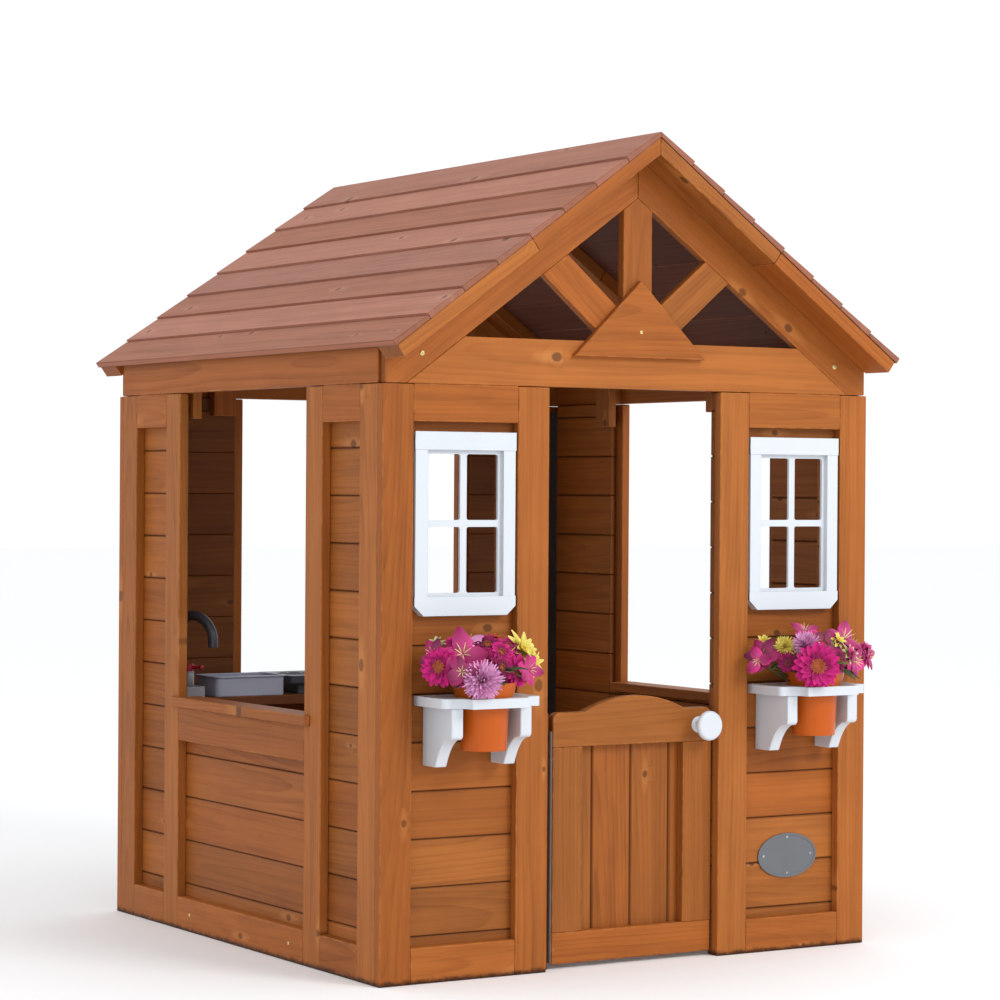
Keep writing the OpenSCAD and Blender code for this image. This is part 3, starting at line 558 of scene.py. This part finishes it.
SUNK = 0.0002            # added parts start this far inside the face that they stand on
STUD_STEP = 0.024        # from one pair of studs to the next, up a corner strip
STUD_R = 0.0014
STUD_H = 0.0005
STUD_SIDES = 8
STRIP_END = 0.014        # height of a strip's first studs above its foot
STRIP_BARE = 0.02        # length of a strip that the rows of studs leave out
WINDOW_CAP = 0.029       # height of the plate over a window
WINDOW_SILL = 0.0305     # height of the plate under a window
WINDOW_CHAMFER = 0.016   # cut across the lower plate's corners
PROUD = 0.0014           # how far the plates stand in front of the window
PLATE_LAP = 0.0013       # how far they pass its sides
PLATE_EDGE = 0.0004      # how far they pass its top and bottom


def add_parts(piece, parts, material):
    """Puts further closed meshes, each (vertices, faces), into a piece with a material of their own."""
    grown = bmesh.new()
    grown.from_mesh(piece.data)
    piece.data.materials.append(material)
    slot = len(piece.data.materials) - 1
    layer = grown.verts.layers.float_vector.get("rest")
    for points, faces in parts:
        made = [grown.verts.new(p) for p in points]
        for v in made:
            v[layer] = v.co
        for f in faces:
            grown.faces.new([made[i] for i in f]).material_index = slot
    grown.to_mesh(piece.data)
    grown.free()


def three_rings(count):
    """Faces of a closed shape made of three rings of points, count to a ring."""
    faces = [tuple(range(count))[::-1], tuple(range(2 * count, 3 * count))]
    for ring in (0, count):
        faces += [(ring + k, ring + (k + 1) % count, ring + count + (k + 1) % count, ring + count + k)
                  for k in range(count)]
    return faces


def stud(at, out):
    """A low domed stud that stands on a face."""
    rings = [(STUD_R, -SUNK), (STUD_R, STUD_H * 0.5), (STUD_R * 0.6, STUD_H)]
    points = [at + around(out, 2 * math.pi * k / STUD_SIDES) * r + out * h
              for r, h in rings for k in range(STUD_SIDES)]
    return points, three_rings(STUD_SIDES)


def window_plate(x0, x1, z0, z1, chamfer, front):
    """A plate in front of a window's frame with a softened edge; chamfer cuts off its lower corners."""
    outline = [(x0, z0), (x1, z0), (x1, z1), (x0, z1)]
    if chamfer:
        outline = [(x0 + chamfer, z0), (x1 - chamfer, z0), (x1, z0 + chamfer), (x1, z1), (x0, z1),
                   (x0, z0 + chamfer)]
    count, cx, cz = len(outline), (x0 + x1) / 2, (z0 + z1) / 2
    points = []
    for inset, y in ((0.0, front + 0.002), (0.0, front - PROUD * 0.4), (PROUD * 0.6, front - PROUD)):
        points += [Vector((x - math.copysign(inset, x - cx), y, z - math.copysign(inset, z - cz)))
                   for x, z in outline]
    return points, three_rings(count)


for window in windows:
    (x0, x1), (y0, _), (z0, z1) = extent([v.co for v in window.data.vertices])
    left, right = x0 - PLATE_LAP, x1 + PLATE_LAP
    add_parts(window, [
        window_plate(left, right, z0 - PLATE_EDGE, z0 + WINDOW_SILL, WINDOW_CHAMFER, y0),
        window_plate(left, right, z1 - WINDOW_CAP, z1 + PLATE_EDGE, 0.0, y0)], WHITE)


def bar(at, out, run, length, width, height):
    """A small bar lying on a face, centred at a point."""
    side = out.cross(run)
    return [at + run * (length / 2 * a) + side * (width / 2 * b) + out * c
            for a in (-1, 1) for b in (-1, 1) for c in (-SUNK, height)], BOX_FACES


# the oval plate's own screws are zinc
plate_x, plate_y, plate_z = extent([v.co for v in bpy.data.objects["name_plate_skin"].data.vertices])
heads.data.materials.append(ZINC)
for face in heads.data.polygons:
    at = face.center
    over_plate = plate_x[0] < at.x < plate_x[1] and plate_z[0] < at.z < plate_z[1]
    if over_plate and abs(at.y - plate_y[0]) < 0.01:
        face.material_index = 1

# a black cross of painted shade on every screw head, standing for its recess
recess_shade_bars = []
for solid in solids("screws"):
    points = [v.co.copy() for v in solid.verts]
    axis = strongest([(f.normal, f.calc_area()) for f in solid.faces])
    solid.free()
    middle = sum(points, Vector()) / len(points)
    bottom, top = reach(points, axis)
    rims = [max((p - middle - axis * (p - middle).dot(axis)).length
                for p in points if abs(p.dot(axis) - level) < 2e-5) for level in (bottom, top)]
    out, radius = (axis, rims[1]) if rims[1] < rims[0] else (-axis, rims[0])
    crown = middle + out * (reach(points, out)[1] - middle.dot(out))
    first = out.orthogonal().normalized()
    for run in (first, out.cross(first)):
        recess_shade_bars.append(bar(crown, out, run, radius * 1.7, radius * 0.32, 0.0001))
add_parts(heads, recess_shade_bars, BLACK)

# rows of studs down the corner strips
studs = []
for solid in solids("corner_hinges"):
    (x0, x1), (y0, y1), (z0, z1) = extent([v.co.copy() for v in solid.verts])
    solid.free()
    sx, sy = (1 if x0 + x1 > 0 else -1), (1 if y0 + y1 > 2 * HOUSE_Y else -1)
    face_x, face_y = (x1 if sx > 0 else x0), (y1 if sy > 0 else y0)
    for k in range(int((z1 - z0 - STRIP_BARE) / STUD_STEP)):
        z = z0 + STRIP_END + k * STUD_STEP
        for share in (0.28, 0.72):
            studs.append(stud(Vector((x0 + (x1 - x0) * share, face_y, z)), Vector((0, sy, 0))))
            studs.append(stud(Vector((face_x, y0 + (y1 - y0) * share, z)), Vector((sx, 0, 0))))
add_parts(bpy.data.objects["corner_hinges_skin"], studs, ZINC)

# ---------------------------------------------------------------- flowers

POT_X = {"left": -0.3235, "right": 0.3335}
BOARDS_Y = -0.476 + HOUSE_Y  # front face of the boards behind the planters
WALL_D = 0.0195              # nothing reaches nearer to the boards than this
FRONT_D = 0.168              # and nothing reaches further out than this
TOP_Z = 0.571                # top of the bouquets
SHELF_Z = 0.4575             # just above the shelves
STEMS_R = 0.025              # only points this near the pot's axis may go below the shelf's top
POT_D = 0.067                # pot's axis in front of the boards
STEM_FOOT_Z = 0.44
GOLDEN = 2.39996             # radians from one floret to the next in a spiral


def petal_material():
    """Petals and leaves in the colour of each point, streaked along their length."""
    g = Graph("petals")
    tone = g.attribute("tone")
    along, across, own = g.split(g.attribute("vein"))
    lines = g.noise(g.join(g.math("MULTIPLY", along, 1.5), g.math("MULTIPLY", across, 9.0),
                           g.math("MULTIPLY", own, 40.0)), 1.0, 3.0, 0.6)
    level = g.math("MULTIPLY_ADD", lines, 0.5, 0.75)
    edge = g.span(g.math("ABSOLUTE", across), 0.6, 1.0, 1.0, 1.12)
    level = g.math("MULTIPLY", level, edge)
    color = g.vector("MULTIPLY", tone, g.join(level, level, level))
    gloss = g.math("MULTIPLY_ADD", lines, 0.2, 0.45)
    return g.finish(color, gloss, g.bump(lines, 0.0006, 0.6), Specular_IOR_Level=0.2, Sheen_Weight=0.15)


PETALS = petal_material()
MAGENTA = (rgb(140, 0, 76), rgb(200, 20, 118))
CRIMSON = (rgb(104, 4, 56), rgb(150, 6, 80))
PALE_PINK = (rgb(206, 112, 170), rgb(232, 178, 220))
YELLOW = (rgb(214, 184, 50), rgb(232, 222, 124))
CREAM = (rgb(170, 168, 88), rgb(200, 196, 150))
LEAF = (rgb(34, 50, 22), rgb(62, 82, 40))
FRESH = (rgb(70, 92, 34), rgb(140, 152, 84))
RUST = (rgb(150, 40, 20), rgb(186, 84, 24))
EYE = (rgb(40, 14, 14), rgb(186, 100, 44))


def blend(a, b, t):
    return tuple(x + (y - x) * t for x, y in zip(a[:3], b[:3]))


class Bunch:
    """Petals, leaves and stems gathered into one mesh, kept clear of the wall and the shelf."""

    def __init__(self, side):
        self.x = POT_X[side]
        self.rand = random.Random("bunch " + side)
        self.verts, self.faces, self.tone, self.vein = [], [], [], []

    def point(self, p, tone, vein):
        d = min(max(BOARDS_Y - p.y, WALL_D), FRONT_D)
        off = math.hypot(p.x - self.x, d - POT_D)
        z = max(p.z, SHELF_Z) if off > STEMS_R else p.z
        self.verts.append((p.x, BOARDS_Y - d, min(z, TOP_Z)))
        self.tone.append(tone)
        self.vein.append(vein)

    def grid(self, rows, columns, place, tone):
        """A sheet of points from place(t, s) with t along 0..1 and s across -1..1."""
        base, own = len(self.verts), self.rand.random()
        for i in range(rows + 1):
            for j in range(columns + 1):
                t, s = i / rows, 2 * j / columns - 1
                self.point(place(t, s), tone(t), (t, s, own))
        for i in range(rows):
            for j in range(columns):
                a = base + i * (columns + 1) + j
                self.faces.append((a, a + 1, a + columns + 2, a + columns + 1))

    def petal(self, at, out, up, length, width, tones, curl=-0.2, cup=0.3, blunt=0.75, rows=6, columns=4):
        out = out.normalized()
        side = up.cross(out).normalized()
        up = out.cross(side).normalized()
        light = self.rand.uniform(0.85, 1.12)
        twist = self.rand.uniform(-0.2, 0.2)

        def place(t, s):
            half = width / 2 * max(math.sin(math.pi * min(t, 0.985) ** blunt), 0.12) ** 0.7
            lift = curl * t * t * length + cup * half * (s * s - 0.4) + twist * half * s * t
            return at + out * (length * t) + side * (half * s) + up * lift

        self.grid(rows, columns, place, lambda t: tuple(c * light for c in blend(*tones, t)))

    def ring(self, at, face, count, length, width, tilt, tones, **shape):
        """Petals round a flower's middle; tilt in degrees lifts them out of its plane."""
        offset = self.rand.random()
        for k in range(count):
            a = 2 * math.pi * (k + offset + self.rand.uniform(-0.18, 0.18)) / count
            flat = around(face, a)
            rise = math.radians(tilt + self.rand.uniform(-7, 7))
            out = flat * math.cos(rise) + face * math.sin(rise)
            up = face * math.cos(rise) - flat * math.sin(rise)
            self.petal(at, out, up, length * self.rand.uniform(0.9, 1.06), width, tones, **shape)

    def dome(self, at, face, radius, height, tones, count=70):
        """A flower's middle, crowded with florets."""
        for k in range(count):
            share = math.sqrt((k + 0.5) / count)
            flat = around(face, k * GOLDEN)
            base = at + flat * (radius * share) + face * (height * (1 - share * share))
            out = (face + flat * share * 0.8).normalized()
            self.petal(base, out, flat, radius * 0.3, radius * 0.2, (blend(*tones, share),) * 2,
                       curl=0.1, rows=2, columns=2)

    def stem(self, start, end, radius, tones):
        run = (end - start).normalized()

        def place(t, s):
            return start.lerp(end, t) + around(run, math.pi * s) * radius

        self.grid(4, 6, place, lambda t: blend(*tones, t))

    def gerbera(self, at, face, r, tones=MAGENTA):
        self.ring(at, face, 20, r, r * 0.36, 4, tones, curl=-0.14, blunt=1.3)
        self.ring(at + face * 0.002, face, 18, r * 0.86, r * 0.32, 13, tones, curl=-0.12, blunt=1.3)
        self.ring(at + face * 0.003, face, 13, r * 0.62, r * 0.24, 15, (tones[0], tones[0]),
                  curl=-0.1, blunt=1.2)
        self.ring(at + face * (r * 0.15), face, 24, r * 0.36, r * 0.1, 12,
                  (EYE[1], blend(EYE[1], tones[1], 0.25)))
        self.dome(at + face * (r * 0.19), face, r * 0.25, r * 0.06, EYE)

    def lily(self, at, face, r, tones=MAGENTA):
        pale = blend(tones[1], rgb(220, 150, 190), 0.22)
        shape = {"curl": -0.3, "cup": -0.4, "blunt": 0.9, "rows": 9}
        self.ring(at, face, 3, r, r * 0.8, 24, (pale, tones[1]), **shape)
        self.ring(at + face * 0.002, face, 3, r, r * 0.7, 32, (pale, tones[0]), **shape)
        self.ring(at, face, 7, r * 0.62, r * 0.05, 62, (CREAM[1], YELLOW[1]), curl=-0.15, rows=5,
                  columns=2)

    def mum(self, at, face, r, tones=PALE_PINK, count=130):
        for k in range(count):
            high = 1 - 1.25 * (k + 0.5) / count
            flat = around(face, k * GOLDEN)
            out = face * high + flat * math.sqrt(max(0.0, 1 - high * high))
            self.petal(at + out * r * 0.15, out, face, r * self.rand.uniform(0.72, 0.95), r * 0.17,
                       (tones[0], blend(*tones, self.rand.uniform(0.6, 1.0))),
                       curl=self.rand.uniform(-0.1, 0.35), rows=5, columns=2)

    def daisy(self, at, face, r, tones=YELLOW):
        self.ring(at, face, 8, r, r * 0.42, 14, tones, curl=-0.16, cup=0.5)
        self.ring(at + face * 0.002, face, 7, r * 0.8, r * 0.36, 34, tones, curl=-0.1, cup=0.5)
        self.dome(at + face * 0.004, face, r * 0.16, r * 0.1, (rgb(170, 120, 20), rgb(196, 160, 36)), 40)

    def leaves(self, count, tones, length, root_r):
        middle = Vector((self.x, BOARDS_Y - POT_D, 0.492))
        for k in range(count):
            a = 2 * math.pi * (k + self.rand.uniform(-0.3, 0.3)) / count
            out = Vector((math.cos(a), math.sin(a) * 0.8, self.rand.uniform(-0.1, 0.7)))
            start = middle + Vector((math.cos(a), math.sin(a), 0)) * root_r
            self.petal(start, out, Vector((0, 0, 1)), length * self.rand.uniform(0.7, 1.1),
                       length * 0.42, tones, curl=-0.35, cup=0.5, blunt=0.85, rows=8)

    def build(self, node, flowers):
        middle = Vector((self.x, BOARDS_Y - POT_D, 0.0))
        for kind, x, d, z, r, face, extra in flowers:
            at = Vector((self.x + x / 1000, BOARDS_Y - d / 1000, z / 1000))
            face = Vector(face).normalized()
            getattr(self, kind)(at, face, r / 1000, **extra)
            root = middle.lerp(at, 0.12)
            root.z = STEM_FOOT_Z
            self.stem(root, at - face * 0.002, 0.0016, LEAF)
        self.leaves(16, LEAF, 0.056, 0.022)
        self.leaves(9, FRESH, 0.042, 0.030)
        piece = new_object(node + "_flowers", self.verts, self.faces, PETALS)
        attribute(piece.data, "tone", "POINT", self.tone)
        attribute(piece.data, "vein", "POINT", self.vein)
        adopt(piece, node)


# each flower: kind, mm right of the pot's middle, mm out from the boards, mm up, radius, facing
Bunch("left").build("left_bouquet", [
    ("gerbera", -84, 70, 506, 32, (-0.8, -0.75, 0.1), {}),
    ("lily", -50, 84, 525, 40, (-0.5, -0.8, 0.45), {}),
    ("mum", -36, 120, 486, 33, (-0.4, -0.9, 0.1), {}),
    ("gerbera", 8, 62, 536, 25, (-0.2, -0.6, 0.75), {"tones": CRIMSON}),
    ("gerbera", 18, 88, 526, 22, (-0.1, -0.8, 0.6), {}),
    ("daisy", 72, 62, 528, 36, (0.3, -0.75, 0.5), {}),
    ("gerbera", 42, 98, 497, 28, (0.0, -0.95, 0.1), {}),
    ("lily", -20, 48, 542, 26, (-0.2, -0.4, 0.85), {"tones": PALE_PINK}),
    ("daisy", -74, 42, 538, 18, (-0.6, -0.4, 0.7), {"tones": CREAM}),
    ("daisy", 36, 40, 545, 15, (0.2, -0.4, 0.85), {"tones": RUST}),
    ("gerbera", -22, 96, 514, 24, (-0.4, -0.9, 0.3), {"tones": CRIMSON}),
    ("gerbera", -62, 92, 494, 22, (-0.7, -0.8, -0.1), {}),
    ("gerbera", 44, 66, 534, 22, (0.1, -0.6, 0.7), {}),
    ("lily", -84, 52, 524, 26, (-0.8, -0.5, 0.4), {"tones": CRIMSON}),
    ("daisy", 84, 74, 508, 25, (0.5, -0.8, 0.1), {}),
    ("lily", 60, 100, 500, 27, (0.35, -0.9, 0.1), {}),
    ("gerbera", 2, 112, 504, 22, (0.1, -0.95, 0.25), {"tones": CRIMSON}),
    ("lily", -66, 108, 500, 26, (-0.5, -0.85, 0.1), {"tones": CRIMSON}),
    ("gerbera", -42, 60, 540, 24, (-0.3, -0.55, 0.75), {})])
Bunch("right").build("right_bouquet", [
    ("gerbera", -40, 128, 492, 41, (-0.45, -0.9, 0.12), {}),
    ("mum", -38, 94, 524, 25, (-0.4, -0.7, 0.6), {}),
    ("mum", -67, 74, 522, 20, (-0.6, -0.7, 0.4), {"tones": YELLOW, "count": 80}),
    ("lily", -98, 54, 508, 30, (-0.8, -0.6, 0.2), {"tones": CRIMSON}),
    ("lily", -8, 50, 545, 27, (-0.2, -0.5, 0.8), {}),
    ("lily", 66, 62, 532, 38, (0.1, -0.7, 0.6), {}),
    ("gerbera", 104, 74, 507, 23, (0.5, -0.85, 0.1), {"tones": MAGENTA}),
    ("daisy", 20, 46, 540, 16, (0.0, -0.5, 0.85), {"tones": RUST}),
    ("daisy", 52, 96, 508, 20, (0.3, -0.8, 0.4), {"tones": CREAM}),
    ("daisy", -90, 44, 530, 15, (-0.6, -0.5, 0.6), {"tones": YELLOW}),
    ("lily", -112, 60, 500, 24, (-0.8, -0.6, -0.1), {}),
    ("gerbera", -18, 60, 528, 20, (-0.2, -0.6, 0.7), {}),
    ("lily", 84, 58, 520, 28, (0.4, -0.7, 0.5), {"tones": CRIMSON}),
    ("lily", 112, 70, 503, 24, (0.6, -0.75, 0.0), {}),
    ("lily", 30, 74, 522, 26, (0.1, -0.8, 0.5), {"tones": CRIMSON}),
    ("gerbera", -72, 88, 497, 18, (-0.6, -0.8, 0.0), {"tones": CRIMSON}),
    ("lily", 62, 96, 497, 29, (0.4, -0.9, 0.0), {}),
    ("gerbera", 18, 108, 500, 23, (0.2, -0.95, 0.1), {"tones": CRIMSON}),
    ("daisy", 44, 74, 530, 19, (0.2, -0.7, 0.6), {"tones": YELLOW}),
    ("lily", -14, 84, 530, 25, (-0.1, -0.75, 0.6), {"tones": CRIMSON}),
    ("gerbera", 84, 84, 500, 21, (0.5, -0.85, 0.0), {})])

# ---------------------------------------------------------------- studio

FLOOR_HALF = 30
floor = new_object("floor", [(x * FLOOR_HALF, y * FLOOR_HALF, 0)
                             for x, y in ((-1, -1), (1, -1), (1, 1), (-1, 1))], [(0, 1, 2, 3)],
                   Graph("floor").finish((0.96, 0.96, 0.96, 1.0), 0.9))

world = bpy.data.worlds.new("studio")
bpy.context.scene.world = world
world.use_nodes = True
world.node_tree.nodes["Background"].inputs["Color"].default_value = (0.97, 0.985, 1.0, 1.0)
world.node_tree.nodes["Background"].inputs["Strength"].default_value = 1.04
bpy.context.scene.view_settings.view_transform = "Standard"


def area_light(name, at, aim, size, power):
    data = bpy.data.lights.new(name, "AREA")
    data.shape = "DISK"
    data.size = size
    data.energy = power
    lamp = bpy.data.objects.new(name, data)
    lamp.location = at
    lamp.rotation_mode = "QUATERNION"
    lamp.rotation_quaternion = (Vector(aim) - Vector(at)).to_track_quat("-Z", "Y")
    bpy.context.scene.collection.objects.link(lamp)


area_light("key", (1.6, -4.6, 3.4), (0.0, 0.0, 0.7), 2.2, 115)

# ---------------------------------------------------------------- camera

CAMERA_AT = (-2.8018, -4.5887, 0.788)  # from the ground under the house's middle
CAMERA_TURN = math.radians(-31.77)
CAMERA_RISE = math.radians(0.24)
CAMERA_ROLL = math.radians(0.38)
cam_data = bpy.data.cameras.new("camera")
cam_data.lens = 107.85
cam_data.sensor_width = 36.0
cam_data.clip_start = 0.1
cam_data.clip_end = 60.0
camera = bpy.data.objects.new("camera", cam_data)
back = Vector((math.sin(CAMERA_TURN) * math.cos(CAMERA_RISE), -math.cos(CAMERA_TURN) * math.cos(CAMERA_RISE),
               math.sin(CAMERA_RISE)))
right = Vector((math.cos(CAMERA_TURN), math.sin(CAMERA_TURN), 0.0))
up = back.cross(right)
c, s = math.cos(CAMERA_ROLL), math.sin(CAMERA_ROLL)
turned_right, turned_up = c * right + s * up, c * up - s * right
camera.matrix_world = Matrix((
    (turned_right.x, turned_up.x, back.x, CAMERA_AT[0]),
    (turned_right.y, turned_up.y, back.y, CAMERA_AT[1] + HOUSE_Y),
    (turned_right.z, turned_up.z, back.z, CAMERA_AT[2]),
    (0.0, 0.0, 0.0, 1.0)))
bpy.context.scene.collection.objects.link(camera)
bpy.context.scene.camera = camera
